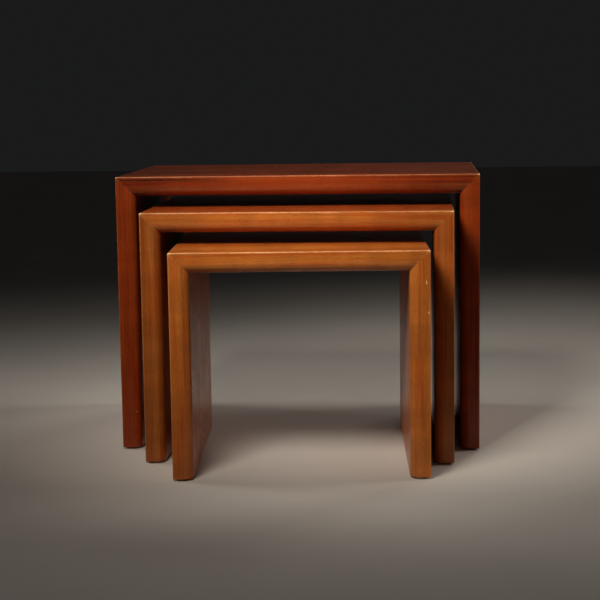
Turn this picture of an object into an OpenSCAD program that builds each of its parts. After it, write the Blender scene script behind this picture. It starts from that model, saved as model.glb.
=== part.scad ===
// A nest of three tables.
// Each table is an upside-down U: one wide top board on two full-depth side boards, mitred at the
// upper corners. Every board has a solid lipping along its front edge and along its back edge. A
// lipping is square on the outside of the U and has a quarter round on the inside. A loose tongue is
// glued across every mitre, and every side board stands on two nailed glides. The smaller tables
// slide in and out between the sides of the larger ones.
// Units are millimetres. X is the width, the fronts face -Y, and Z is up. The origin is on the
// floor, under the middle of the large table's width and midway along the depth of the whole nest.

/* [Nest] */
// Width of the large table
large_width = 600; // [520:1:720]
// Height of the large table
large_height = 460; // [400:1:560]
// Depth of each table, front to back
table_depth = 385; // [320:1:470]
// Gap on each side between a table and the next one inside it
side_gap = 18; // [14:0.5:30]
// Gap between the top of a table and the underside of the next larger one
top_gap = 20; // [8:0.5:30]

/* [Arrangement] */
// Distance that the medium table stands out in front of the large one
medium_pull = 100; // [0:1:400]
// Distance that the small table stands out in front of the large one
small_pull = 204; // [0:1:800]
// Clearance between the medium table and the right side of the large one
medium_clear_right = 12; // [3:0.5:25]
// Clearance between the small table's nearest corner and the right side of the medium one
small_clear_right = 6; // [3:0.5:12]
// Clearance between the small table's nearest corner and the left side of the medium one
small_clear_left = 10.5; // [3:0.5:14]

/* [Boards] */
// Thickness of the top and side boards
board_thickness = 32; // [26:0.5:40]
// Width of the solid lipping along an edge, front to back
lipping_width = 20; // [18:0.5:30]
// Radius of the quarter round on the inner arris of each lipping
round_radius = 16; // [6:0.5:17]
// Thickness of the tongue along the back of each lipping
lipping_tongue = 6; // [4:0.5:8]
// Length of that tongue into the board
lipping_tongue_length = 8; // [5:0.5:12]
// Clearance between the end of any tongue and the bottom of its groove
groove_clearance = 1; // [0.5:0.1:2]

/* [Mitre tongues] */
// Thickness of the loose tongue in each mitre
mitre_tongue = 6; // [4:0.5:8]
// Width of the loose tongue, half in each board
mitre_tongue_width = 20; // [12:0.5:24]
// Thickness of wood left between the loose tongue's groove and the inner face of the board
mitre_tongue_cover = 4; // [2:0.5:6]
// Distance between the groove of a lipping and the groove of the loose tongue
mitre_tongue_stop = 6; // [3:0.5:30]

/* [Glides] */
// Diameter of a glide
glide_diameter = 22; // [14:0.5:25]
// Height of a glide under the side board
glide_height = 3; // [2:0.5:6]
// Radius on the lower edge of a glide
glide_edge = 1; // [0.5:0.1:1.5]
// Diameter of the nail on a glide
nail_diameter = 2.5; // [2:0.1:4]
// Length of the nail
nail_length = 16; // [10:1:24]
// Length of the nail's point
nail_point = 3; // [1:0.5:5]
// Extra depth of the hole beyond the nail
nail_hole_extra = 2; // [1:0.5:5]
// Distance between the groove of a lipping and the middle of a glide
glide_inset = 16; // [8:1:60]

/* [Hidden] */
$fn = 64;
// A cutter runs past what it cuts by this much.
overrun = 1;

// Each table's top fits under the next one's, and its sides between the next one's.
width_step = 2 * (board_thickness + side_gap);
height_step = board_thickness + top_gap;
medium_width = large_width - width_step;
small_width = medium_width - width_step;
medium_height = large_height - height_step;
small_height = medium_height - height_step;

// The medium table stands square, to the right of the middle.
medium_x = side_gap - medium_clear_right;

// The small table stands askew: it is turned until it fills the space between the medium table's
// sides apart from its two clearances.
medium_inner_width = medium_width - 2 * board_thickness;
small_span = medium_inner_width - small_clear_left - small_clear_right;
small_diagonal = norm([small_width, table_depth]);
small_turn = atan2(table_depth, small_width) - acos(small_span / small_diagonal);
small_half_width = small_width / 2;
small_right = medium_x + medium_inner_width / 2 - small_clear_right;
small_x = small_right - small_half_width * cos(small_turn);

// The foremost and rearmost points of the nest, measured from the large table's front.
small_front = -small_pull - small_half_width * sin(small_turn);
small_back = -small_pull + small_half_width * sin(small_turn) + table_depth * cos(small_turn);
nest_front = min(0, -medium_pull, small_front);
nest_back = max(table_depth, small_back);
large_y = -(nest_front + nest_back) / 2;

// Depths measured from the front or back of a table.
lipping_groove_depth = lipping_tongue_length + groove_clearance;
groove_bottom = lipping_width + lipping_groove_depth;
mitre_groove_start = groove_bottom + mitre_tongue_stop;
glide_y = groove_bottom + glide_inset;

// The loose tongue's middle lies this far along the mitre from the inside corner.
mitre_groove_width = mitre_tongue_width + 2 * groove_clearance;
mitre_tongue_place = mitre_tongue_cover * sqrt(2) + (mitre_groove_width + mitre_tongue) / 2;

large_wood = [0.45, 0.20, 0.10];
medium_wood = [0.58, 0.29, 0.13];
small_wood = [0.66, 0.34, 0.15];
tongue_wood = [0.80, 0.68, 0.50];
glide_nylon = [0.16, 0.14, 0.13];

// Where each table stands

module large_place() {
    translate([0, large_y, 0]) children();
}

module medium_place() {
    translate([medium_x, large_y - medium_pull, 0]) children();
}

module small_place() {
    translate([small_x, large_y - small_pull, 0])
        rotate([0, 0, small_turn])
            children();
}

// Helpers. A table's own frame has its origin on the floor, below the middle of its front.

// Stands an outline drawn in width and height on edge, and gives it depth from y0 to y1.
module slab(y0, y1) {
    translate([0, y1, 0])
        rotate([90, 0, 0])
            linear_extrude(height = y1 - y0)
                children();
}

// Puts a piece drawn at the front of a table at its back instead.
module at_back() {
    translate([0, table_depth, 0])
        mirror([0, 1, 0])
            children();
}

// The mitred outline of a top board.
module top_outline(width, height) {
    inner = width / 2 - board_thickness;
    polygon([
        [-width / 2, height],
        [-inner, height - board_thickness],
        [inner, height - board_thickness],
        [width / 2, height]
    ]);
}

// The mitred outline of a left side board.
module side_outline(width, height) {
    inner = width / 2 - board_thickness;
    polygon([
        [-width / 2, glide_height],
        [-inner, glide_height],
        [-inner, height - board_thickness],
        [-width / 2, height]
    ]);
}

// The outline of the loose tongue, or of its groove, across the left mitre.
module mitre_tongue_outline(width, height, tongue_width) {
    along = mitre_tongue_place / sqrt(2);
    translate([board_thickness - width / 2 - along, height - board_thickness + along])
        rotate(45)
            square([tongue_width, mitre_tongue], center = true);
}

// The groove for the loose tongue across the left mitre.
module mitre_groove(width, height) {
    slab(mitre_groove_start, table_depth - mitre_groove_start)
        mitre_tongue_outline(width, height, mitre_groove_width);
}

// The section of a lipping: x is the distance from the edge, y the distance from the inner face.
module lipping_section() {
    difference() {
        square([lipping_width, board_thickness]);
        difference() {
            square(round_radius);
            translate([round_radius, round_radius]) circle(r = round_radius);
        }
    }
    translate([lipping_width, (board_thickness - lipping_tongue) / 2])
        square([lipping_tongue_length, lipping_tongue]);
}

// The section of the groove that takes the tongue of a lipping.
module groove_section() {
    translate([lipping_width - overrun, (board_thickness - lipping_tongue) / 2])
        square([lipping_groove_depth + overrun, lipping_tongue]);
}

// Runs a section along the whole width of a table, under its top face.
module along_top(width, height) {
    translate([-width / 2 - overrun, 0, height - board_thickness])
        rotate([90, 0, 90])
            linear_extrude(height = width + 2 * overrun)
                children();
}

// Runs a section up the whole height of a table, along its left side.
module along_side(width, height) {
    translate([board_thickness - width / 2, 0, glide_height - overrun])
        rotate([0, 0, 90])
            linear_extrude(height = height - glide_height + 2 * overrun)
                children();
}

// Pieces of one table, drawn in the table's own frame

// The top board, with a groove along each long edge and one in each mitre.
module top_board(width, height) {
    difference() {
        slab(lipping_width, table_depth - lipping_width) top_outline(width, height);
        along_top(width, height) groove_section();
        at_back() along_top(width, height) groove_section();
        mitre_groove(width, height);
        mirror([1, 0, 0]) mitre_groove(width, height);
    }
}

// The left side board, with its grooves and the nail holes of its two glides.
module side_board(width, height) {
    difference() {
        slab(lipping_width, table_depth - lipping_width) side_outline(width, height);
        along_side(width, height) groove_section();
        at_back() along_side(width, height) groove_section();
        mitre_groove(width, height);
        glide_places(width) nail_hole();
    }
}

// The front lipping of the top board.
module top_lipping(width, height) {
    intersection() {
        along_top(width, height) lipping_section();
        slab(0, groove_bottom) top_outline(width, height);
    }
}

// The front lipping of the left side board.
module side_lipping(width, height) {
    intersection() {
        along_side(width, height) lipping_section();
        slab(0, groove_bottom) side_outline(width, height);
    }
}

// The loose tongue of the left mitre.
module loose_tongue(width, height) {
    end = mitre_groove_start + groove_clearance;
    slab(end, table_depth - end)
        mitre_tongue_outline(width, height, mitre_tongue_width);
}

// The two places for a glide under the left side board.
module glide_places(width) {
    for (y = [glide_y, table_depth - glide_y])
        translate([(board_thickness - width) / 2, y, 0])
            children();
}

// The hole for a glide's nail.
module nail_hole() {
    translate([0, 0, glide_height - overrun])
        cylinder(h = nail_length + nail_hole_extra + overrun, d = nail_diameter);
}

// One glide: a disc with a rounded lower edge, and a pointed nail.
module glide() {
    radius = glide_diameter / 2;
    nail_top = glide_height + nail_length;
    rotate_extrude() {
        translate([0, glide_edge]) square([radius, glide_height - glide_edge]);
        square([radius - glide_edge, glide_edge]);
        intersection() {
            translate([radius - glide_edge, glide_edge]) circle(r = glide_edge);
            translate([radius - glide_edge, 0]) square(glide_edge);
        }
        polygon([
            [0, glide_height],
            [nail_diameter / 2, glide_height],
            [nail_diameter / 2, nail_top - nail_point],
            [0, nail_top]
        ]);
    }
}

// All four glides of a table.
module four_glides(width) {
    glide_places(width) glide();
    mirror([1, 0, 0]) glide_places(width) glide();
}

// The pieces of the large table

module large_top_board() {
    color(large_wood) large_place() top_board(large_width, large_height);
}

module large_left_board() {
    color(large_wood) large_place() side_board(large_width, large_height);
}

module large_right_board() {
    color(large_wood) large_place() mirror([1, 0, 0]) side_board(large_width, large_height);
}

module large_top_front_lipping() {
    color(large_wood) large_place() top_lipping(large_width, large_height);
}

module large_left_front_lipping() {
    color(large_wood) large_place() side_lipping(large_width, large_height);
}

module large_right_front_lipping() {
    color(large_wood) large_place() mirror([1, 0, 0]) side_lipping(large_width, large_height);
}

module large_top_back_lipping() {
    color(large_wood) large_place() at_back() top_lipping(large_width, large_height);
}

module large_left_back_lipping() {
    color(large_wood) large_place() at_back() side_lipping(large_width, large_height);
}

module large_right_back_lipping() {
    color(large_wood) large_place() mirror([1, 0, 0]) at_back() side_lipping(large_width, large_height);
}

module large_left_mitre_tongue() {
    color(tongue_wood) large_place() loose_tongue(large_width, large_height);
}

module large_right_mitre_tongue() {
    color(tongue_wood) large_place() mirror([1, 0, 0]) loose_tongue(large_width, large_height);
}

module large_glides() {
    color(glide_nylon) large_place() four_glides(large_width);
}

// The pieces of the medium table

module medium_top_board() {
    color(medium_wood) medium_place() top_board(medium_width, medium_height);
}

module medium_left_board() {
    color(medium_wood) medium_place() side_board(medium_width, medium_height);
}

module medium_right_board() {
    color(medium_wood) medium_place() mirror([1, 0, 0]) side_board(medium_width, medium_height);
}

module medium_top_front_lipping() {
    color(medium_wood) medium_place() top_lipping(medium_width, medium_height);
}

module medium_left_front_lipping() {
    color(medium_wood) medium_place() side_lipping(medium_width, medium_height);
}

module medium_right_front_lipping() {
    color(medium_wood) medium_place() mirror([1, 0, 0]) side_lipping(medium_width, medium_height);
}

module medium_top_back_lipping() {
    color(medium_wood) medium_place() at_back() top_lipping(medium_width, medium_height);
}

module medium_left_back_lipping() {
    color(medium_wood) medium_place() at_back() side_lipping(medium_width, medium_height);
}

module medium_right_back_lipping() {
    color(medium_wood) medium_place() mirror([1, 0, 0]) at_back() side_lipping(medium_width, medium_height);
}

module medium_left_mitre_tongue() {
    color(tongue_wood) medium_place() loose_tongue(medium_width, medium_height);
}

module medium_right_mitre_tongue() {
    color(tongue_wood) medium_place() mirror([1, 0, 0]) loose_tongue(medium_width, medium_height);
}

module medium_glides() {
    color(glide_nylon) medium_place() four_glides(medium_width);
}

// The pieces of the small table

module small_top_board() {
    color(small_wood) small_place() top_board(small_width, small_height);
}

module small_left_board() {
    color(small_wood) small_place() side_board(small_width, small_height);
}

module small_right_board() {
    color(small_wood) small_place() mirror([1, 0, 0]) side_board(small_width, small_height);
}

module small_top_front_lipping() {
    color(small_wood) small_place() top_lipping(small_width, small_height);
}

module small_left_front_lipping() {
    color(small_wood) small_place() side_lipping(small_width, small_height);
}

module small_right_front_lipping() {
    color(small_wood) small_place() mirror([1, 0, 0]) side_lipping(small_width, small_height);
}

module small_top_back_lipping() {
    color(small_wood) small_place() at_back() top_lipping(small_width, small_height);
}

module small_left_back_lipping() {
    color(small_wood) small_place() at_back() side_lipping(small_width, small_height);
}

module small_right_back_lipping() {
    color(small_wood) small_place() mirror([1, 0, 0]) at_back() side_lipping(small_width, small_height);
}

module small_left_mitre_tongue() {
    color(tongue_wood) small_place() loose_tongue(small_width, small_height);
}

module small_right_mitre_tongue() {
    color(tongue_wood) small_place() mirror([1, 0, 0]) loose_tongue(small_width, small_height);
}

module small_glides() {
    color(glide_nylon) small_place() four_glides(small_width);
}

large_top_board();
large_left_board();
large_right_board();
large_top_front_lipping();
large_left_front_lipping();
large_right_front_lipping();
large_top_back_lipping();
large_left_back_lipping();
large_right_back_lipping();
large_left_mitre_tongue();
large_right_mitre_tongue();
large_glides();
medium_top_board();
medium_left_board();
medium_right_board();
medium_top_front_lipping();
medium_left_front_lipping();
medium_right_front_lipping();
medium_top_back_lipping();
medium_left_back_lipping();
medium_right_back_lipping();
medium_left_mitre_tongue();
medium_right_mitre_tongue();
medium_glides();
small_top_board();
small_left_board();
small_right_board();
small_top_front_lipping();
small_left_front_lipping();
small_right_front_lipping();
small_top_back_lipping();
small_left_back_lipping();
small_right_back_lipping();
small_left_mitre_tongue();
small_right_mitre_tongue();
small_glides();
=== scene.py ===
"""A nest of three side tables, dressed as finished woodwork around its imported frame.

Each table is a U of three boards. Every board has a solid lipping along its front edge and one
along its back edge, and the side boards stand on nailed nylon glides. All sizes are in metres.
"""
import sys
import logging
import math
import random
from dataclasses import dataclass, field
from enum import Enum
from typing import ClassVar

import bmesh
import bpy
from mathutils import Matrix, Vector, noise


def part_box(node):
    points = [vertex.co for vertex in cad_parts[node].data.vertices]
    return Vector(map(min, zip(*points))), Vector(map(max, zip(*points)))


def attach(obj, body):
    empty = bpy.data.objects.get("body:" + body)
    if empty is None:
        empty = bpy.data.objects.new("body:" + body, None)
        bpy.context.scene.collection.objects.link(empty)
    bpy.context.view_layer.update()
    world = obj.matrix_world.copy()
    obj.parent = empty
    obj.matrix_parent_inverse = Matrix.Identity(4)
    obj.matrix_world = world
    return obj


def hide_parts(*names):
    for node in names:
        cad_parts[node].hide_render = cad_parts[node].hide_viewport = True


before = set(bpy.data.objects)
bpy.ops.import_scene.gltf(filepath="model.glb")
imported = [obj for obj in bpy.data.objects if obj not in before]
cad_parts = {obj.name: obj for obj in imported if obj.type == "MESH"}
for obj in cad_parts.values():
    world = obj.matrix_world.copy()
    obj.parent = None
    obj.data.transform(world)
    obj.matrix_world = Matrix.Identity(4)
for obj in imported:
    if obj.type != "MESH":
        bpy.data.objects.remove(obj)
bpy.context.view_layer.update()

log = logging.getLogger("nest")
MM = 0.001
Colour = tuple[float, float, float]
Triple = tuple[float, float, float]
Ring = tuple[list[Vector], list[float]]
Socket = bpy.types.NodeSocket
Value = Socket | float | Triple


class Run(Enum):
    """The three boards of a U, in the order in which its path passes them."""

    LEFT = "left"
    TOP = "top"
    RIGHT = "right"


class Strip(Enum):
    """The three strips of a board, from the front of the table to its back."""

    FRONT_LIPPING = "front_lipping"
    BOARD = "board"
    BACK_LIPPING = "back_lipping"


@dataclass(frozen=True)
class Boxed:
    """The box around a node.

    Attributes:
        low: Its lowest corner.
        high: Its highest corner.
    """

    low: Vector
    high: Vector

    @classmethod
    def around(cls, node: str) -> "Boxed":
        """Reads the box of a node from the frame."""
        return cls(*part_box(node))

    @property
    def centre(self) -> Vector:
        """The middle of the box."""
        return (self.low + self.high) / 2


@dataclass(frozen=True)
class Stance:
    """How large one table is and how it stands.

    Attributes:
        centre: The point on the floor under the middle of the table.
        turn: The angle by which it is turned about the vertical, in radians.
        width: Its width over the side boards.
        depth: Its depth over the lippings.
        height: Its height from the floor.
        foot: The height of its side boards above the floor.
        thickness: The thickness of its boards.
        lipping: The width of its lippings, front to back.
    """

    centre: Vector
    turn: float
    width: float
    depth: float
    height: float
    foot: float
    thickness: float
    lipping: float

    @classmethod
    def of(cls, table: str) -> "Stance":
        """Reads a table's stance from the boxes of its nodes.

        Args:
            table: The table's name.

        Returns:
            The stance.
        """
        left = Boxed.around(f"{table}_left_board")
        right = Boxed.around(f"{table}_right_board")
        top = Boxed.around(f"{table}_top_board")
        front = Boxed.around(f"{table}_top_front_lipping")
        back = Boxed.around(f"{table}_top_back_lipping")
        across = right.centre - left.centre
        turn = math.atan2(across.y, across.x)
        thickness = top.high.z - top.low.z
        width = across.to_2d().length + thickness
        lean = width * abs(math.sin(turn))
        depth = (back.high.y - front.low.y - lean) / math.cos(turn)
        board_depth = (top.high.y - top.low.y - lean) / math.cos(turn)
        return cls(
            centre=Vector((top.centre.x, top.centre.y, 0.0)),
            turn=turn,
            width=width,
            depth=depth,
            height=top.high.z,
            foot=left.low.z,
            thickness=thickness,
            lipping=(depth - board_depth) / 2,
        )

    @property
    def half_inside(self) -> float:
        """Half of the clear width between the side boards."""
        return self.width / 2 - self.thickness

    @property
    def place(self) -> Matrix:
        """The table's own frame, on the floor under its middle, in the nest's frame."""
        return Matrix.Translation(self.centre) @ Matrix.Rotation(self.turn, 4, "Z")

    def run_frame(self, run: Run) -> Matrix:
        """Gives a board's frame: x along the grain, y to the back, z out of the U.

        Args:
            run: The board.

        Returns:
            The frame, whose origin lies on the board's inner face.
        """
        inner = self.half_inside
        if run is Run.TOP:
            return self.place @ Matrix.Translation((0, 0, self.height - self.thickness))
        if run is Run.LEFT:
            upright = Matrix(((0, 0, -1, -inner), (0, 1, 0, 0), (1, 0, 0, 0), (0, 0, 0, 1)))
            return self.place @ upright
        downward = Matrix(((0, 0, 1, inner), (0, 1, 0, 0), (-1, 0, 0, 0), (0, 0, 0, 1)))
        return self.place @ downward


@dataclass(frozen=True)
class Corner:
    """One point of a section.

    Attributes:
        depth: Its distance behind the front of the table.
        rise: Its height above the board's inner face.
        wear: How worn it is, from 0 to 1.
    """

    depth: float
    rise: float
    wear: float = 0.0


@dataclass
class Handwork:
    """The small unevenness that hands, feet and years leave along an arris.

    Attributes:
        seed: What makes one arris differ from the next.
        radius: The usual radius of a worn arris.
        waver: The share by which that radius comes and goes.
        dents: How many knocks an arris has.
        dent_depth: How much a knock adds to the radius.
        knocks: The place, length and depth of each knock.
        shift: Where in the noise this arris is read.
        LENGTH: The length of the U over which the knocks are strewn.
        SHORTEST: The shortest half length of a knock.
        LONGEST: The longest half length of a knock.
        SHALLOWEST: The shallowest knock, as a share of the deepest.
        FARTHEST: The farthest place in the noise that an arris may start from.
        SLOW: How often the slow waver comes and goes in a metre.
        QUICK: How often the quick waver does.
        QUICK_SHARE: How strong the quick waver is beside the slow one.
        QUICK_LAYER: The layer of the noise in which the quick waver is read.
    """

    seed: str
    radius: float = 0.85 * MM
    waver: float = 0.3
    dents: int = 5
    dent_depth: float = 0.8 * MM
    knocks: list[tuple[float, float, float]] = field(init=False)
    shift: float = field(init=False)

    LENGTH: ClassVar[float] = 1.5
    SHORTEST: ClassVar[float] = 2.0 * MM
    LONGEST: ClassVar[float] = 6.0 * MM
    SHALLOWEST: ClassVar[float] = 0.3
    FARTHEST: ClassVar[float] = 50.0
    SLOW: ClassVar[float] = 14.0
    QUICK: ClassVar[float] = 85.0
    QUICK_SHARE: ClassVar[float] = 0.6
    QUICK_LAYER: ClassVar[float] = 7.0

    def __post_init__(self) -> None:
        """Chooses the place, length and depth of each knock."""
        dice = random.Random(self.seed)
        self.knocks = [
            (
                dice.uniform(0, self.LENGTH),
                dice.uniform(self.SHORTEST, self.LONGEST),
                dice.uniform(self.SHALLOWEST, 1.0) * self.dent_depth,
            )
            for _ in range(self.dents)
        ]
        self.shift = dice.uniform(0, self.FARTHEST)

    def arris(self, path: float) -> float:
        """Gives the radius of the worn arris at a place.

        Args:
            path: The distance along the U.

        Returns:
            The radius.
        """
        slow = noise.noise(Vector((path * self.SLOW, self.shift, 0)))
        quick = noise.noise(Vector((path * self.QUICK, self.shift, self.QUICK_LAYER)))
        radius = self.radius * (1 + self.waver * (slow + self.QUICK_SHARE * quick))
        for place, length, depth in self.knocks:
            radius += depth * math.exp(-(((path - place) / length) ** 2))
        return radius


@dataclass
class Skin:
    """A closed skin over a row of rings, with a cap at each end.

    Attributes:
        name: The piece's name.
        rings: The points of each ring.
        wears: The wear at each of those points.
        SHARP: The angle from which an edge stays crisp.
    """

    name: str
    rings: list[list[Vector]] = field(default_factory=list)
    wears: list[list[float]] = field(default_factory=list)

    SHARP: ClassVar[float] = math.radians(32)

    def add(self, points: list[Vector], wear: list[float]) -> None:
        """Adds a ring of points, each with its wear."""
        self.rings.append(points)
        self.wears.append(wear)

    def build(self, place: Matrix) -> bpy.types.Object:
        """Makes the piece.

        Args:
            place: The frame in which the rings were drawn.

        Returns:
            The new object.
        """
        shell = bmesh.new()
        worn = shell.verts.layers.float.new("wear")
        rows = []
        for points, wears in zip(self.rings, self.wears):
            row = [shell.verts.new(point) for point in points]
            for vertex, wear in zip(row, wears):
                vertex[worn] = wear
            rows.append(row)
        for near, far in zip(rows, rows[1:]):
            for k in range(len(near)):
                m = (k + 1) % len(near)
                shell.faces.new((near[k], near[m], far[m], far[k]))
        shell.faces.new(list(reversed(rows[0])))
        shell.faces.new(rows[-1])
        bmesh.ops.recalc_face_normals(shell, faces=shell.faces)
        for face in shell.faces:
            face.smooth = True
        for edge in shell.edges:
            edge.smooth = edge.calc_face_angle(0.0) < self.SHARP
        mesh = bpy.data.meshes.new(self.name)
        shell.to_mesh(mesh)
        shell.free()
        piece = bpy.data.objects.new(self.name, mesh)
        bpy.context.scene.collection.objects.link(piece)
        piece.matrix_world = place
        return piece


@dataclass
class UTable:
    """One table: an upside-down U with rounded inner and worn outer arrises.

    Attributes:
        name: The table's name.
        stance: Its sizes and place.
        round_radius: The radius of the quarter round on the inside of a lipping.
        corner_radius: The radius of the worn corner between top and side.
        seam: How far the edges of a glued joint are eased.
        toe: How far the lower end of a side board is eased.
        step: The distance between the rings of a piece.
        arc_steps: How many steps a worn arris takes.
        round_steps: How many steps the quarter round takes.
        band: How far beside an arris its wear fades out.
        side_wear: How worn the upright arrises are beside those of the top.
        round_wear: How worn the quarter round is.
        toe_wear: How worn the lower end of a side board is.
        tip: How far down from a corner the wear of its tip reaches.
        board_stride: How many times as far apart the rings of a plain board lie.
        front_edge: The history of the front arris.
        back_edge: The history of the back arris.
        FULL_WEAR: How worn an arris of the top is.
        TIP_WEAR: How worn the tip of a corner is.
        MITRE_FALL: How sharply the wear of a mitre falls off below its outer end.
        MITRE_TURNS: The angles of the rings round a worn corner, from the mitre outwards.
        CLOSE: Where the closer rings near each end lie, as shares of a step.
    """

    name: str
    stance: Stance
    round_radius: float = 16.0 * MM
    corner_radius: float = 1.4 * MM
    seam: float = 0.16 * MM
    toe: float = 0.8 * MM
    step: float = 6.0 * MM
    arc_steps: int = 5
    round_steps: int = 12
    band: float = 1.7 * MM
    side_wear: float = 0.42
    round_wear: float = 0.12
    toe_wear: float = 0.8
    tip: float = 5.0 * MM
    board_stride: int = 4
    front_edge: Handwork = field(init=False)
    back_edge: Handwork = field(init=False)

    FULL_WEAR: ClassVar[float] = 1.0
    TIP_WEAR: ClassVar[float] = 1.8
    MITRE_FALL: ClassVar[int] = 6
    MITRE_TURNS: ClassVar[tuple[float, ...]] = tuple(math.radians(turn) for turn in (45, 30, 15))
    CLOSE: ClassVar[tuple[float, float]] = (0.1, 0.4)

    def __post_init__(self) -> None:
        """Gives the front and the back arrises their own history."""
        self.front_edge = Handwork(f"{self.name} front")
        self.back_edge = Handwork(f"{self.name} back")

    def lipping_section(self, radius: float) -> list[Corner]:
        """Draws the section of a front lipping.

        Args:
            radius: The radius of the worn outer arris.

        Returns:
            The corners, from the seam over the outside to the seam on the inside.
        """
        top = self.stance.thickness
        wide = self.stance.lipping
        big = self.round_radius
        corners = [Corner(wide, top - self.seam), Corner(wide - self.seam, top)]
        corners.append(Corner(radius + self.band, top))
        for k in range(self.arc_steps + 1):
            angle = math.pi / 2 * k / self.arc_steps
            depth = radius * (1 - math.sin(angle))
            rise = top - radius * (1 - math.cos(angle))
            corners.append(Corner(depth, rise, self.FULL_WEAR))
        corners.append(Corner(0.0, top - radius - self.band))
        corners.append(Corner(0.0, big + self.band))
        for k in range(self.round_steps + 1):
            angle = math.pi / 2 * k / self.round_steps
            depth = big * (1 - math.cos(angle))
            rise = big * (1 - math.sin(angle))
            corners.append(Corner(depth, rise, self.round_wear))
        corners.append(Corner(wide - self.seam, 0.0))
        corners.append(Corner(wide, self.seam))
        return corners

    def board_section(self) -> list[Corner]:
        """Draws the section of a board between its two lippings.

        Returns:
            The corners of the section.
        """
        top = self.stance.thickness
        near = self.stance.lipping
        far = self.stance.depth - near
        ease = self.seam
        return [
            Corner(far, top - ease),
            Corner(far - ease, top),
            Corner(near + ease, top),
            Corner(near, top - ease),
            Corner(near, ease),
            Corner(near + ease, 0.0),
            Corner(far - ease, 0.0),
            Corner(far, ease),
        ]

    def section(self, strip: Strip, path: float) -> list[Corner]:
        """Draws the section of a strip at a place along the U.

        Args:
            strip: Which strip of the board.
            path: The distance along the U.

        Returns:
            The corners of the section.
        """
        if strip is Strip.BOARD:
            return self.board_section()
        if strip is Strip.FRONT_LIPPING:
            return self.lipping_section(self.front_edge.arris(path))
        depth = self.stance.depth
        front = self.lipping_section(self.back_edge.arris(path))
        return [Corner(depth - c.depth, c.rise, c.wear) for c in front]

    def ends(self, run: Run) -> tuple[float, float]:
        """Gives where a board begins and ends along its grain, on its inner face.

        Args:
            run: The board.

        Returns:
            Its beginning and its end.
        """
        inner = self.stance.half_inside
        rise = self.stance.height - self.stance.thickness
        if run is Run.TOP:
            return -inner, inner
        if run is Run.LEFT:
            return self.stance.foot, rise
        return -rise, -self.stance.foot

    def path_start(self, run: Run) -> float:
        """Gives the distance along the U at which a board begins.

        Args:
            run: The board.

        Returns:
            The distance from the foot of the left side board.
        """
        leg = self.stance.height - self.stance.thickness - self.stance.foot
        starts = {Run.LEFT: 0.0, Run.TOP: leg, Run.RIGHT: leg + 2 * self.stance.half_inside}
        return starts[run]

    def arris_wear(self, run: Run) -> float:
        """Gives how worn the long arrises of a board are."""
        return self.FULL_WEAR if run is Run.TOP else self.side_wear

    def mitre_ring(self, corners: list[Corner], run: Run, side: int, turn: float) -> Ring:
        """Places a section on the worn corner at a mitre.

        Args:
            corners: The section.
            run: The board.
            side: -1 at the beginning of the board, 1 at its end.
            turn: The angle round the corner, 0 on the flat and 45 degrees at the mitre.

        Returns:
            The ring's points and their wear.
        """
        points = []
        wears = []
        middle = self.stance.depth / 2
        end = self.ends(run)[0 if side < 0 else 1]
        for c in corners:
            share = c.rise / self.stance.thickness
            radius = self.corner_radius * share
            along = end + side * (c.rise - radius + radius * math.sin(turn))
            points.append(Vector((along, c.depth - middle, c.rise - radius * (1 - math.cos(turn)))))
            tip = self.TIP_WEAR if c.wear == self.FULL_WEAR else share**self.MITRE_FALL
            wears.append(max(c.wear * self.arris_wear(run), tip))
        return points, wears

    def plain_ring(self, corners: list[Corner], run: Run, at: float) -> Ring:
        """Places a section on the straight part of a board.

        Args:
            corners: The section.
            run: The board.
            at: How far along the board, from 0 to 1.

        Returns:
            The ring's points and their wear.
        """
        start, stop = self.ends(run)
        middle = self.stance.depth / 2
        points = []
        wears = []
        for c in corners:
            grow = c.rise * (1 - self.corner_radius / self.stance.thickness)
            low = start + self.toe if run is Run.LEFT else start - grow
            high = stop - self.toe if run is Run.RIGHT else stop + grow
            along = low + (high - low) * at
            to_tip = math.inf
            if run is not Run.LEFT:
                to_tip = min(to_tip, along - low)
            if run is not Run.RIGHT:
                to_tip = min(to_tip, high - along)
            near = max(0.0, 1 - to_tip / self.tip)
            points.append(Vector((along, c.depth - middle, c.rise)))
            wears.append(c.wear * (self.arris_wear(run) + near * (self.TIP_WEAR - self.FULL_WEAR)))
        return points, wears

    def toe_ring(self, corners: list[Corner], place: float) -> Ring:
        """Places a section on the lower end of a side board, eased all round.

        Args:
            corners: The section.
            place: Where the board ends along its grain.

        Returns:
            The ring's points and their wear.
        """
        middle = self.stance.depth / 2
        centre_rise = self.stance.thickness / 2
        depths = [c.depth for c in corners]
        centre_depth = (min(depths) + max(depths)) / 2
        points = []
        for c in corners:
            away = Vector((c.depth - centre_depth, c.rise - centre_rise))
            drawn = [part - math.copysign(min(self.toe, abs(part)), part) for part in away]
            points.append(Vector((place, drawn[0] + centre_depth - middle, drawn[1] + centre_rise)))
        return points, [self.toe_wear] * len(corners)

    def stations(self, count: int) -> list[float]:
        """Spaces the rings of a board evenly, with closer ones near each end.

        Args:
            count: How many steps the board takes.

        Returns:
            The places of the rings along the board, from 0 to 1.
        """
        inner = [k / count for k in range(1, count)]
        close = [share / count for share in self.CLOSE]
        return [0.0, *close, *inner, *(1 - at for at in reversed(close)), 1.0]

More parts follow.
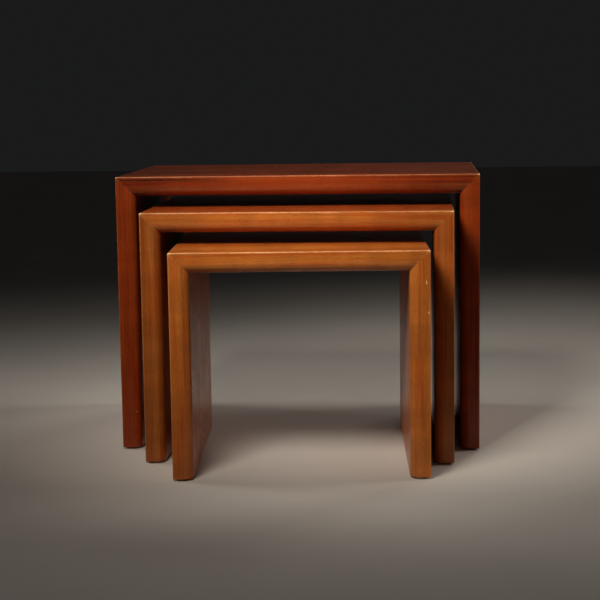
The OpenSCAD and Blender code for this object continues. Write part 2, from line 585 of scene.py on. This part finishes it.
    def piece(self, run: Run, strip: Strip) -> bpy.types.Object:
        """Makes one strip of one board.

        Args:
            run: The board.
            strip: The strip.

        Returns:
            The new object.
        """
        start, stop = self.ends(run)
        origin = self.path_start(run)
        count = max(2, round((stop - start) / self.step))
        if strip is Strip.BOARD:
            count = max(2, count // self.board_stride)
        node = f"{self.name}_{run.value}_{strip.value}"
        skin = Skin(f"{node}_finished")
        corners = self.section(strip, origin)
        if run is Run.LEFT:
            skin.add(*self.toe_ring(corners, start))
        else:
            for turn in self.MITRE_TURNS:
                skin.add(*self.mitre_ring(corners, run, -1, turn))
        for at in self.stations(count):
            corners = self.section(strip, origin + (stop - start) * at)
            skin.add(*self.plain_ring(corners, run, at))
        if run is Run.RIGHT:
            skin.add(*self.toe_ring(corners, stop))
        else:
            for turn in reversed(self.MITRE_TURNS):
                skin.add(*self.mitre_ring(corners, run, 1, turn))
        return skin.build(self.stance.run_frame(run))


@dataclass(frozen=True)
class Ramp:
    """A smooth step from one range of values to another, held at both ends.

    Attributes:
        low: Where it begins.
        high: Where it ends. It runs backwards where this is the smaller.
        to_low: What it gives at its beginning.
        to_high: What it gives at its end.
    """

    low: float
    high: float
    to_low: float = 0.0
    to_high: float = 1.0


@dataclass(frozen=True)
class Grain:
    """A noise whose grain differs in size each way.

    Attributes:
        scale: How often it repeats in a metre, each way.
        layer: Which layer of the noise it is read from, counted from a piece's own.
        detail: How many finer layers it has.
        rough: How strong those are.
    """

    scale: Triple
    layer: float = 0.0
    detail: float = 2.0
    rough: float = 0.5


@dataclass
class Sheet:
    """The node sheet of one material.

    Attributes:
        name: The material's name.
        material: The material.
        tree: Its nodes and links.
        output: The node that the shader ends in.
    """

    name: str
    material: bpy.types.Material = field(init=False)
    tree: bpy.types.NodeTree = field(init=False)
    output: bpy.types.Node = field(init=False)

    def __post_init__(self) -> None:
        """Starts an empty sheet with an output."""
        self.material = bpy.data.materials.new(self.name)
        self.material.use_nodes = True
        self.tree = self.material.node_tree
        self.tree.nodes.clear()
        self.output = self.tree.nodes.new("ShaderNodeOutputMaterial")

    def node(
        self, kind: str, inputs: dict[str | int, Value] | None = None, **settings: str
    ) -> bpy.types.Node:
        """Adds a node.

        Args:
            kind: The node's type.
            inputs: A value or a socket for each named or numbered input.
            **settings: The node's own settings.

        Returns:
            The node.
        """
        made = self.tree.nodes.new(kind)
        for key, value in settings.items():
            setattr(made, key, value)
        for key, value in (inputs or {}).items():
            if isinstance(value, Socket):
                self.tree.links.new(value, made.inputs[key])
            else:
                made.inputs[key].default_value = value
        return made

    def object_place(self) -> Socket:
        """Gives a point's place in its piece's own frame."""
        return self.node("ShaderNodeTexCoord").outputs["Object"]

    def noise(self, place: Socket, grain: Grain, seed: float = 0.0, kind: str = "Fac") -> Socket:
        """Adds a noise.

        Args:
            place: Where it is read.
            grain: Its size and strength.
            seed: The piece's own layer of it.
            kind: "Fac" for one value, mostly from 0.3 to 0.7, or "Color" for three.

        Returns:
            Its value or values.
        """
        stretched = self.node("ShaderNodeMapping", {"Vector": place, "Scale": grain.scale})
        inputs = {
            "Vector": stretched.outputs["Vector"],
            "W": seed + grain.layer,
            "Scale": 1.0,
            "Detail": grain.detail,
            "Roughness": grain.rough,
        }
        return self.node("ShaderNodeTexNoise", inputs, noise_dimensions="4D").outputs[kind]

    def spread(self, value: Socket, ramp: Ramp) -> Socket:
        """Passes a value through a ramp.

        Args:
            value: The value.
            ramp: The ramp.

        Returns:
            What the ramp gives.
        """
        inputs = {0: value, 1: ramp.low, 2: ramp.high, 3: ramp.to_low, 4: ramp.to_high}
        made = self.node("ShaderNodeMapRange", inputs, interpolation_type="SMOOTHSTEP")
        return made.outputs["Result"]

    def reckon(self, operation: str, a: Value, b: Value) -> Socket:
        """Joins two numbers with a named operation, such as ADD."""
        return self.node("ShaderNodeMath", {0: a, 1: b}, operation=operation).outputs[0]

    def shift(self, operation: str, place: Socket, by: Value) -> Socket:
        """Changes a place with a named operation, such as SUBTRACT."""
        return self.node("ShaderNodeVectorMath", {0: place, 1: by}, operation=operation).outputs[0]

    def bump(self, height: Socket, strength: float, distance: float) -> Socket:
        """Adds fine relief.

        Args:
            height: How high each point stands.
            strength: How much of it shows, from 0 to 1.
            distance: How high a height of 1 is.

        Returns:
            The new normal.
        """
        inputs = {"Strength": strength, "Distance": distance, "Height": height}
        return self.node("ShaderNodeBump", inputs).outputs[0]

    def blend(self, share: Value, a: Value, b: Value, way: str = "MIX") -> Socket:
        """Blends two colours.

        Args:
            share: How much of the second.
            a: The first colour.
            b: The second colour.
            way: How they are blended.

        Returns:
            The blended colour.
        """
        # A colour mixer takes its share at 0 and its colours at 6 and 7, and gives its blend at 2.
        made = self.node("ShaderNodeMix", data_type="RGBA", blend_type=way)
        for key, value in ((0, share), (6, a), (7, b)):
            if isinstance(value, Socket):
                self.tree.links.new(value, made.inputs[key])
            elif key:
                made.inputs[key].default_value = (*value, 1.0)
            else:
                made.inputs[key].default_value = value
        return made.outputs[2]

    def finish(self, inputs: dict[str | int, Value]) -> bpy.types.Material:
        """Closes the sheet with a shader.

        Args:
            inputs: The shader's values and sockets.

        Returns:
            The material.
        """
        shader = self.node("ShaderNodeBsdfPrincipled", inputs)
        self.tree.links.new(shader.outputs[0], self.output.inputs["Surface"])
        return self.material


@dataclass(frozen=True)
class Mark:
    """A mark on a board, such as a knock or a dark streak in the wood.

    Attributes:
        along: Its place along the grain, in the board's frame.
        behind: Its distance behind the front of the table.
        rise: Its height above the inner face.
        length: Its length along the grain.
        width: Its width.
        colour: Its colour.
        depth: How much of it shows, from 0 to 1.
        blur: How soft its edge is, as a share of its size.
    """

    along: float
    behind: float
    rise: float
    length: float
    width: float
    colour: Colour
    depth: float = 0.9
    blur: float = 0.2


@dataclass(frozen=True)
class Wood:
    """Satin lacquer over straight-grained wood with open pores.

    Attributes:
        name: The finish's name.
        light: The colour of its palest bands.
        middle: Its usual colour.
        dark: The colour of its darkest bands.
        pore: The colour of a pore.
        bare: The colour where the lacquer is worn off.
        rough: The roughness of sound lacquer.

    The noises below give the figure, the pores, the smudges and the wear. The ramps say how much
    of each shows, and the numbers after them how strongly it tells.
    """

    name: str
    light: Colour
    middle: Colour
    dark: Colour
    pore: Colour
    bare: Colour
    rough: float = 0.29

    BAND: ClassVar[Grain] = Grain((1.3, 38.0, 38.0), detail=3.0)
    STREAK: ClassVar[Grain] = Grain((4.5, 330.0, 330.0), layer=3.0, detail=5.0, rough=0.62)
    FIBRE: ClassVar[Grain] = Grain((26.0, 2300.0, 2300.0), layer=5.0)
    RIBBON: ClassVar[Grain] = Grain((34.0, 9.0, 9.0), layer=7.0)
    SMUDGE: ClassVar[Grain] = Grain((11.0, 16.0, 16.0), layer=9.0, detail=3.0)
    PORE: ClassVar[Grain] = Grain((150.0, 2100.0, 2100.0), layer=11.0, detail=1.0)
    CAST: ClassVar[Grain] = Grain((5.0, 110.0, 110.0), layer=13.0, detail=2.5)
    DRIFT: ClassVar[Grain] = Grain((2.4, 5.0, 5.0), layer=17.0, detail=1.5)
    RUB: ClassVar[Grain] = Grain((120.0, 190.0, 190.0), layer=21.0, detail=4.0, rough=0.6)
    SPELL: ClassVar[Grain] = Grain((9.0, 9.0, 9.0), layer=23.0)
    RAGGED: ClassVar[Grain] = Grain((260.0, 900.0, 900.0), layer=27.0, detail=3.0)

    PALE_BAND: ClassVar[Ramp] = Ramp(0.5, 0.72)
    DARK_BAND: ClassVar[Ramp] = Ramp(0.5, 0.3)
    DARK_STREAK: ClassVar[Ramp] = Ramp(0.52, 0.68, 0.0, 0.85)
    PALE_STREAK: ClassVar[Ramp] = Ramp(0.47, 0.33, 0.0, 0.6)
    FIBRE_SHADE: ClassVar[Ramp] = Ramp(0.3, 0.7, 0.86, 1.12)
    RIBBON_SHADE: ClassVar[Ramp] = Ramp(0.3, 0.7, 0.9, 1.1)
    OPEN_PORE: ClassVar[Ramp] = Ramp(0.6, 0.68)
    REDDER: ClassVar[Ramp] = Ramp(0.47, 0.62, 0.0, 0.9)
    BARE_TIP: ClassVar[Ramp] = Ramp(1.1, UTable.TIP_WEAR, 0.0, 0.8)
    RUBBED: ClassVar[Ramp] = Ramp(0.3, 0.6, 0.35, 1.0)
    RUB_SPELL: ClassVar[Ramp] = Ramp(0.3, 0.65, 0.35, 0.95)
    RAGGED_EDGE: ClassVar[Ramp] = Ramp(0.3, 0.7, -0.35, 0.35)

    RED_CAST: ClassVar[Colour] = (1.0, 0.74, 0.66)
    PALE: ClassVar[Colour] = (0.82, 0.55, 0.31)
    PORE_COLOUR_SHARE: ClassVar[float] = 0.55
    TONE_STRAY: ClassVar[float] = 0.05
    SMOOTHER: ClassVar[float] = 0.02
    ROUGHER: ClassVar[float] = 0.05
    BROKEN_LACQUER: ClassVar[float] = 0.12
    STREAK_RELIEF: ClassVar[float] = 1.6
    PORE_RELIEF: ClassVar[float] = 1.1
    SWAY: ClassVar[float] = 7.0 * MM
    LAST_LAYER: ClassVar[float] = 40.0

    def material(
        self, piece: str, front: float, marks: tuple[Mark, ...] = (), shade: float = 1.0
    ) -> bpy.types.Material:
        """Makes the wood of one piece.

        Args:
            piece: The piece's name, which chooses its part of the tree.
            front: Where the front of the table lies in the piece's frame.
            marks: The piece's own marks.
            shade: How light the piece is beside its neighbours: partly its own colour, and on some
                pieces painted shade.

        Returns:
            The material.
        """
        dice = random.Random(piece)
        seed = dice.uniform(0, self.LAST_LAYER)
        # On some pieces the shade is painted shade, not only the wood's own colour.
        tone_and_painted_shade = dice.uniform(1 - self.TONE_STRAY, 1 + self.TONE_STRAY) * shade
        sheet = Sheet(f"{self.name}_{piece}")
        straight = sheet.object_place()
        place = self.wandering(sheet, straight, seed)
        streak = sheet.noise(place, self.STREAK, seed)
        fibre = sheet.noise(place, self.FIBRE, seed)
        pores = sheet.spread(sheet.noise(place, self.PORE, seed), self.OPEN_PORE)
        wear = sheet.node("ShaderNodeAttribute", attribute_name="wear").outputs["Fac"]
        worn = self.worn_share(sheet, wear, straight, seed)
        colour = self.figure(sheet, place, streak, fibre, seed, tone_and_painted_shade)
        colour = sheet.blend(sheet.reckon("MULTIPLY", pores, self.PORE_COLOUR_SHARE), colour, self.pore)
        for mark in marks:
            shown = self.mark_share(sheet, straight, mark, front, seed)
            colour = sheet.blend(shown, colour, mark.colour)
        colour = sheet.blend(worn, colour, self.bare)
        colour = sheet.blend(sheet.spread(wear, self.BARE_TIP), colour, self.PALE)
        return sheet.finish(
            {
                "Base Color": colour,
                "Roughness": self.roughness(sheet, straight, pores, worn, seed),
                "Normal": self.relief(sheet, fibre, streak, pores),
                "IOR": 1.5,
                "Specular IOR Level": 0.3,
                "Coat Weight": 0.1,
                "Coat Roughness": 0.22,
            }
        )

    def wandering(self, sheet: Sheet, place: Socket, seed: float) -> Socket:
        """Lets the grain wander a little from side to side as it runs along.

        Args:
            sheet: The material's sheet.
            place: A point's place.
            seed: The piece's own layer of the noise.

        Returns:
            Where in the grain the point lies.
        """
        drift = sheet.noise(place, self.DRIFT, seed, kind="Color")
        centred = sheet.shift("SUBTRACT", drift, (0.5, 0.5, 0.5))
        moved = sheet.shift("MULTIPLY", centred, (0.0, self.SWAY, self.SWAY))
        return sheet.shift("ADD", place, moved)

    def figure(
        self, sheet: Sheet, place: Socket, streak: Socket, fibre: Socket, seed: float, tone_and_painted_shade: float
    ) -> Socket:
        """Mixes the wood's colour from its bands, streaks, fibres and ribbon.

        Args:
            sheet: The material's sheet.
            place: Where in the grain a point lies.
            streak: The narrow streaks.
            fibre: The fibres.
            seed: The piece's own layer of the noise.
            tone_and_painted_shade: How light this piece is: its own colour, and on some pieces painted
                shade.

        Returns:
            The colour.
        """
        light, middle, dark = (
            tuple(channel * tone_and_painted_shade for channel in colour)
            for colour in (self.light, self.middle, self.dark)
        )
        band = sheet.noise(place, self.BAND, seed)
        ribbon = sheet.noise(place, self.RIBBON, seed)
        cast = sheet.noise(place, self.CAST, seed)
        colour = sheet.blend(sheet.spread(band, self.PALE_BAND), middle, light)
        colour = sheet.blend(sheet.spread(band, self.DARK_BAND), colour, dark)
        colour = sheet.blend(sheet.spread(streak, self.DARK_STREAK), colour, dark)
        colour = sheet.blend(sheet.spread(streak, self.PALE_STREAK), colour, light)
        shade = sheet.spread(fibre, self.FIBRE_SHADE)
        shade = sheet.reckon("MULTIPLY", shade, sheet.spread(ribbon, self.RIBBON_SHADE))
        grey = sheet.node("ShaderNodeCombineColor", {0: shade, 1: shade, 2: shade}).outputs[0]
        colour = sheet.blend(1.0, colour, grey, way="MULTIPLY")
        return sheet.blend(sheet.spread(cast, self.REDDER), colour, self.RED_CAST, way="MULTIPLY")

    def roughness(
        self, sheet: Sheet, place: Socket, pores: Socket, worn: Socket, seed: float
    ) -> Socket:
        """Says how rough the lacquer is: more so over smudges, pores and worn places.

        Args:
            sheet: The material's sheet.
            place: A point's place.
            pores: Where the pores are.
            worn: How far the lacquer is rubbed off.
            seed: The piece's own layer of the noise.

        Returns:
            The roughness.
        """
        smudge = sheet.noise(place, self.SMUDGE, seed)
        sound = Ramp(0.35, 0.68, self.rough - self.SMOOTHER, self.rough + self.ROUGHER)
        rough = sheet.spread(smudge, sound)
        for broken in (pores, worn):
            more = sheet.reckon("MULTIPLY", broken, self.BROKEN_LACQUER)
            rough = sheet.reckon("ADD", rough, more)
        return rough

    def relief(self, sheet: Sheet, fibre: Socket, streak: Socket, pores: Socket) -> Socket:
        """Gives the fine relief of fibres, streaks and open pores.

        Args:
            sheet: The material's sheet.
            fibre: The fibres.
            streak: The narrow streaks.
            pores: Where the pores are.

        Returns:
            The normal.
        """
        height = sheet.reckon("ADD", fibre, sheet.reckon("MULTIPLY", streak, self.STREAK_RELIEF))
        height = sheet.reckon("SUBTRACT", height, sheet.reckon("MULTIPLY", pores, self.PORE_RELIEF))
        return sheet.bump(height, strength=0.32, distance=0.08 * MM)

    def worn_share(self, sheet: Sheet, wear: Socket, place: Socket, seed: float) -> Socket:
        """Says how far the lacquer is rubbed off, from the wear along the arrises.

        Args:
            sheet: The material's sheet.
            wear: The wear at a point.
            place: The point's place.
            seed: The piece's own layer of the noise.

        Returns:
            The share of bare wood.
        """
        rub = sheet.spread(sheet.noise(place, self.RUB, seed), self.RUBBED)
        spell = sheet.spread(sheet.noise(place, self.SPELL, seed), self.RUB_SPELL)
        return sheet.reckon("MULTIPLY", sheet.reckon("MULTIPLY", rub, wear), spell)

    def mark_share(
        self, sheet: Sheet, place: Socket, mark: Mark, front: float, seed: float
    ) -> Socket:
        """Says how much of a mark shows at a point.

        Args:
            sheet: The material's sheet.
            place: The point's place.
            mark: The mark.
            front: Where the front of the table lies in the piece's frame.
            seed: The piece's own layer of the noise.

        Returns:
            The share of the mark's colour.
        """
        centre = (mark.along, front + mark.behind, mark.rise)
        size = (2 / mark.length, 2 / mark.width, 2 / mark.width)
        away = sheet.shift("SUBTRACT", place, centre)
        scaled = sheet.shift("MULTIPLY", away, size)
        far = sheet.node("ShaderNodeVectorMath", {0: scaled}, operation="LENGTH").outputs["Value"]
        ragged = sheet.spread(sheet.noise(place, self.RAGGED, seed), self.RAGGED_EDGE)
        edge = sheet.reckon("ADD", far, ragged)
        return sheet.spread(edge, Ramp(1 - mark.blur, 1 + mark.blur, mark.depth, 0.0))


@dataclass(frozen=True)
class Plywood:
    """Bare birch plywood, in thin sheets across its thickness.

    Attributes:
        name: The finish's name.
        pale: The colour of a sheet seen along its grain.
        deep: The colour of a sheet seen across its grain.
    """

    name: str = "birch_plywood"
    pale: Colour = (0.62, 0.46, 0.27)
    deep: Colour = (0.42, 0.28, 0.15)

    FIBRE: ClassVar[Grain] = Grain((900.0, 30.0, 900.0), layer=2.0, detail=3.0)
    SHEETS: ClassVar[Grain] = Grain((400.0, 4.0, 400.0), layer=5.0)

    def material(self) -> bpy.types.Material:
        """Makes the plywood.

        Returns:
            The material.
        """
        sheet = Sheet(self.name)
        place = sheet.object_place()
        fibre = sheet.noise(place, self.FIBRE)
        sheets = sheet.noise(place, self.SHEETS)
        colour = sheet.blend(sheet.spread(sheets, Ramp(0.42, 0.58)), self.pale, self.deep)
        colour = sheet.blend(sheet.spread(fibre, Ramp(0.4, 0.7, 0.0, 0.4)), colour, self.deep)
        rough = sheet.spread(fibre, Ramp(0.3, 0.7, 0.62, 0.8))
        relief = sheet.bump(fibre, strength=0.4, distance=0.1 * MM)
        return sheet.finish({"Base Color": colour, "Roughness": rough, "Normal": relief})


@dataclass(frozen=True)
class Nylon:
    """Dark moulded nylon, scuffed underneath.

    Attributes:
        name: The finish's name.
        body: Its colour.
        scuff: The colour of its scuffs.
    """

    name: str = "glide_nylon"
    body: Colour = (0.028, 0.024, 0.021)
    scuff: Colour = (0.11, 0.10, 0.09)

    GRAIN: ClassVar[Grain] = Grain((2600.0, 2600.0, 2600.0), layer=1.0)
    SCUFFS: ClassVar[Grain] = Grain((260.0, 900.0, 260.0), layer=4.0, detail=5.0, rough=0.65)

    def material(self) -> bpy.types.Material:
        """Makes the nylon.

        Returns:
            The material.
        """
        sheet = Sheet(self.name)
        place = sheet.object_place()
        scuffs = sheet.noise(place, self.SCUFFS)
        rubbed = sheet.spread(scuffs, Ramp(0.52, 0.68, 0.0, 0.8))
        colour = sheet.blend(rubbed, self.body, self.scuff)
        rough = sheet.spread(scuffs, Ramp(0.35, 0.65, 0.42, 0.66))
        relief = sheet.bump(sheet.noise(place, self.GRAIN), strength=0.3, distance=0.05 * MM)
        return sheet.finish({"Base Color": colour, "Roughness": rough, "Normal": relief})


@dataclass
class Nest:
    """The three tables of the nest, with their finishes.

    Attributes:
        woods: Each table's wood.
        tops: The wood of each table's top board. The large and medium tops are darker than their sides,
            partly as their own wood and partly as painted shade for top faces that catch little light.
        marks: The marks of single pieces, by node.
        piece_tones_and_painted_shade: How light or dark single pieces are, by node: mostly their own
            colour, and on the right-hand front lippings painted shade.
    """

    woods: dict[str, Wood]
    tops: dict[str, Wood]
    marks: dict[str, tuple[Mark, ...]] = field(default_factory=dict)
    piece_tones_and_painted_shade: dict[str, float] = field(default_factory=dict)

    def build_table(self, name: str) -> None:
        """Makes and dresses the nine boards and lippings of one table.

        Args:
            name: The table's name.
        """
        table = UTable(name, Stance.of(name))
        front = -table.stance.depth / 2
        for run in Run:
            for strip in Strip:
                node = f"{name}_{run.value}_{strip.value}"
                piece = table.piece(run, strip)
                is_board = strip is Strip.BOARD
                # The large and medium top boards' woods are darker partly as painted shade.
                wood = self.tops[name] if is_board and run is Run.TOP else self.woods[name]
                marks = self.marks.get(node, ())
                finish = wood.material(node, front, marks, self.piece_tones_and_painted_shade.get(node, 1.0))
                piece.data.materials.append(finish)
                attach(piece, f"{name}_table")
                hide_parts(node)
                log.info("%s: %d faces", piece.name, len(piece.data.polygons))

    def dress_kept_nodes(self) -> None:
        """Gives the loose tongues and the glides, which stay as packed, their finishes."""
        plywood = Plywood().material()
        nylon = Nylon().material()
        for node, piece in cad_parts.items():
            if node.endswith("_mitre_tongue"):
                self.dress(piece, plywood, "tongue_plywood")
            elif node.endswith("_glides"):
                self.dress(piece, nylon, "glide_nylon")

    @staticmethod
    def dress(piece: bpy.types.Object, material: bpy.types.Material, slot: str) -> None:
        """Puts a material in every slot of a kept node.

        Args:
            piece: The node's object.
            material: The material.
            slot: Not used.
        """
        for holder in piece.material_slots:
            holder.material = material
        log.info("%s keeps its shape, in %s", piece.name, material.name)


@dataclass(frozen=True)
class SoftBox:
    """A soft studio lamp.

    Attributes:
        name: Its name.
        place: Where it stands.
        aim: What it points at.
        size: The length of its side.
        watts: Its power.
        spread: The angle over which it shines, in degrees.
        colour: Its colour.
    """

    name: str
    place: Triple
    aim: Triple
    size: float
    watts: float
    spread: float
    colour: Colour = (1.0, 0.97, 0.93)

    def build(self) -> None:
        """Makes the lamp."""
        lamp = bpy.data.lights.new(self.name, "AREA")
        lamp.shape = "SQUARE"
        lamp.size = self.size
        lamp.energy = self.watts
        lamp.color = self.colour
        lamp.spread = math.radians(self.spread)
        holder = bpy.data.objects.new(self.name, lamp)
        bpy.context.scene.collection.objects.link(holder)
        holder.location = self.place
        look = Vector(self.aim) - Vector(self.place)
        holder.rotation_euler = look.to_track_quat("-Z", "Y").to_euler()


@dataclass(frozen=True)
class Viewpoint:
    """Where the camera stands and how it looks.

    Attributes:
        place: Where it stands.
        yaw: How far it is turned to the left, in degrees.
        pitch: How far it looks down, in degrees.
        roll: How far it leans, in degrees.
        lens: Its focal length in millimetres.
        film: The width of its film in millimetres.
    """

    place: Triple = (0.1946, -2.5973, 0.6006)
    yaw: float = 4.342
    pitch: float = 7.834
    roll: float = -0.815
    lens: float = 92.08
    film: float = 36.0

    def turned(self) -> Matrix:
        """Works out how the camera is turned.

        Returns:
            Its right, its up and its back, as columns.
        """
        yaw, pitch, roll = (math.radians(a) for a in (self.yaw, self.pitch, self.roll))
        forward = Vector(
            (
                -math.sin(yaw) * math.cos(pitch),
                math.cos(yaw) * math.cos(pitch),
                -math.sin(pitch),
            )
        )
        level = Vector((math.cos(yaw), math.sin(yaw), 0.0))
        above = level.cross(forward)
        right = level * math.cos(roll) + above * math.sin(roll)
        up = above * math.cos(roll) - level * math.sin(roll)
        return Matrix((right, up, -forward)).transposed().to_4x4()

    def build(self) -> None:
        """Makes the camera."""
        lens = bpy.data.cameras.new("camera")
        lens.sensor_width = self.film
        lens.lens = self.lens
        camera = bpy.data.objects.new("camera", lens)
        bpy.context.scene.collection.objects.link(camera)
        camera.matrix_world = Matrix.Translation(self.place) @ self.turned()
        bpy.context.scene.camera = camera


KEY = SoftBox(
    "key",
    place=(-0.31, -1.02, 1.26),
    aim=(-0.01, -0.25, 0.53),
    size=0.45,
    watts=1.95,
    spread=47.0,
    colour=(1.0, 0.95, 0.88),
)
FILL = SoftBox(
    "fill",
    place=(0.45, -2.2, 1.4),
    aim=(0.1, -0.1, 0.5),
    size=0.8,
    watts=0.12,
    spread=40.0,
    colour=(1.0, 0.96, 0.9),
)
RIGHT_SIDE = SoftBox(
    "right_side", place=(2.3, 0.45, 1.75), aim=(0.2, 0.1, 0.26), size=0.9, watts=1.6, spread=50.0
)
LEFT_SIDE = SoftBox(
    "left_side", place=(-2.3, 0.45, 1.75), aim=(-0.2, 0.1, 0.26), size=0.9, watts=1.6, spread=50.0
)
BEHIND = SoftBox(
    "behind", place=(1.5, 2.3, 2.1), aim=(0.0, 0.2, 0.30), size=1.4, watts=2.7, spread=70.0
)


@dataclass
class Studio:
    """A pale floor, soft lamps and the camera.

    Attributes:
        floor_half: Half of the floor's width.
        floor_colour: The floor's colour.
        cloud: How dark the floor's faint clouds are, as a share of its colour.
        sky: The strength of the light from all round.
        sky_colour: The colour of that light.
        lamps: The soft lamps.
        camera: The camera.
        CLOUDS: The floor's clouds.
    """

    floor_half: float = 9.0
    floor_colour: Colour = (0.63, 0.57, 0.50)
    cloud: float = 0.93
    sky: float = 0.011
    sky_colour: Colour = (0.95, 0.97, 1.0)
    lamps: tuple[SoftBox, ...] = (KEY, FILL, RIGHT_SIDE, LEFT_SIDE, BEHIND)
    camera: Viewpoint = Viewpoint()

    CLOUDS: ClassVar[Grain] = Grain((3.0, 3.0, 3.0), layer=1.0, detail=4.0)

    def build(self) -> None:
        """Sets up the floor, the light and the camera."""
        self.build_floor()
        self.build_sky()
        for lamp in self.lamps:
            lamp.build()
        self.camera.build()
        bpy.context.scene.view_settings.view_transform = "Standard"

    def build_floor(self) -> None:
        """Makes the floor, of smooth pale plaster."""
        shell = bmesh.new()
        half = self.floor_half
        corners = [(-half, -half), (half, -half), (half, half), (-half, half)]
        shell.faces.new([shell.verts.new((x, y, 0.0)) for x, y in corners])
        mesh = bpy.data.meshes.new("floor")
        shell.to_mesh(mesh)
        shell.free()
        floor = bpy.data.objects.new("floor", mesh)
        bpy.context.scene.collection.objects.link(floor)
        sheet = Sheet("pale_plaster")
        place = sheet.object_place()
        clouds = sheet.noise(place, self.CLOUDS)
        darker = tuple(self.cloud * channel for channel in self.floor_colour)
        colour = sheet.blend(sheet.spread(clouds, Ramp(0.3, 0.7)), self.floor_colour, darker)
        rough = sheet.spread(clouds, Ramp(0.3, 0.7, 0.78, 0.9))
        mesh.materials.append(sheet.finish({"Base Color": colour, "Roughness": rough}))

    def build_sky(self) -> None:
        """Fills the room with an even, weak light."""
        world = bpy.data.worlds.new("room")
        world.use_nodes = True
        background = world.node_tree.nodes["Background"]
        background.inputs["Color"].default_value = (*self.sky_colour, 1.0)
        background.inputs["Strength"].default_value = self.sky
        bpy.context.scene.world = world


GOLDEN = Wood(
    name="golden",
    light=(0.57, 0.180, 0.0280),
    middle=(0.46, 0.124, 0.0165),
    dark=(0.33, 0.068, 0.0075),
    pore=(0.12, 0.022, 0.004),
    bare=(0.80, 0.40, 0.15),
)
AMBER = Wood(
    name="amber",
    light=(0.52, 0.158, 0.0250),
    middle=(0.41, 0.108, 0.0150),
    dark=(0.28, 0.055, 0.006),
    pore=(0.10, 0.018, 0.003),
    bare=(0.68, 0.31, 0.11),
)
RUSSET = Wood(
    name="russet",
    light=(0.37, 0.060, 0.0070),
    middle=(0.28, 0.037, 0.0036),
    dark=(0.17, 0.020, 0.0020),
    pore=(0.055, 0.007, 0.0015),
    bare=(0.50, 0.19, 0.065),
)
# COPPER and UMBER are the medium and large top boards. Their darkness is partly the boards' own wood
# and partly painted shade for top faces that catch little light.
COPPER = Wood(
    name="copper",
    light=(0.44, 0.085, 0.012),
    middle=(0.33, 0.056, 0.0070),
    dark=(0.21, 0.030, 0.0035),
    pore=(0.08, 0.012, 0.002),
    bare=(0.60, 0.26, 0.09),
)
UMBER = Wood(
    name="umber",
    light=(0.20, 0.040, 0.0080),
    middle=(0.135, 0.024, 0.0050),
    dark=(0.075, 0.012, 0.0025),
    pore=(0.03, 0.006, 0.002),
    bare=(0.36, 0.14, 0.055),
)


DARK_LINE: Colour = (0.035, 0.006, 0.0015)
RUSSET_GLOW: Colour = (0.46, 0.068, 0.0065)
PALE_KNOCK: Colour = (0.80, 0.52, 0.28)

LONG_DARK_LINE = Mark(
    along=-205 * MM,
    behind=0.0,
    rise=26.6 * MM,
    length=190 * MM,
    width=2.6 * MM,
    colour=DARK_LINE,
    depth=1.0,
)
SHORT_DARK_LINE = Mark(
    along=-140 * MM,
    behind=0.0,
    rise=23.6 * MM,
    length=130 * MM,
    width=1.8 * MM,
    colour=DARK_LINE,
    depth=0.8,
)
GLOW = Mark(
    along=10 * MM,
    behind=0.0,
    rise=20 * MM,
    length=300 * MM,
    width=120 * MM,
    colour=RUSSET_GLOW,
    depth=0.34,
    blur=0.85,
)


def knock(along: float, behind: float, rise: float, length: float, width: float) -> Mark:
    """Makes a pale knock from its place and size in millimetres.

    Args:
        along: Its place along the grain.
        behind: Its distance behind the front of the table.
        rise: Its height above the inner face.
        length: Its length along the grain.
        width: Its width.

    Returns:
        The mark.
    """
    return Mark(along * MM, behind * MM, rise * MM, length * MM, width * MM, PALE_KNOCK)


MARKS: dict[str, tuple[Mark, ...]] = {
    "large_top_front_lipping": (LONG_DARK_LINE, SHORT_DARK_LINE, GLOW),
    "large_left_front_lipping": (knock(64, 3.5, 7.5, 4, 2),),
    "medium_right_front_lipping": (knock(-230, 2.5, 10, 4, 1.5),),
    "small_right_front_lipping": (knock(-306.7, 0, 25.6, 7, 1.8), knock(-260, 0, 29, 4, 1.8)),
}
# The right-hand front lippings of the large and medium tables are darkened as painted shade for the
# shadow of the table in front of each. The small table's right front lipping is darkened as painted
# shade against the floor's bounce light. The other entries are the pieces' own colour.
PIECE_TONES_AND_PAINTED_SHADE: dict[str, float] = {
    "medium_top_front_lipping": 0.87,
    "medium_left_front_lipping": 0.72,
    "medium_left_board": 0.85,
    "medium_right_front_lipping": 0.86,
    "large_top_front_lipping": 0.70,
    "large_right_front_lipping": 0.88,
    "small_left_front_lipping": 0.98,
    "small_right_front_lipping": 0.92,
}


def main() -> None:
    """Builds the studio and the nest."""
    logging.basicConfig(level=logging.INFO, format="%(message)s", stream=sys.stdout)
    Studio().build()
    nest = Nest(
        woods={"large": RUSSET, "medium": AMBER, "small": GOLDEN},
        tops={"large": UMBER, "medium": COPPER, "small": GOLDEN},
        marks=MARKS,
        piece_tones_and_painted_shade=PIECE_TONES_AND_PAINTED_SHADE,
    )
    for name in nest.woods:
        nest.build_table(name)
    nest.dress_kept_nodes()


if __name__ == "__main__":
    main()
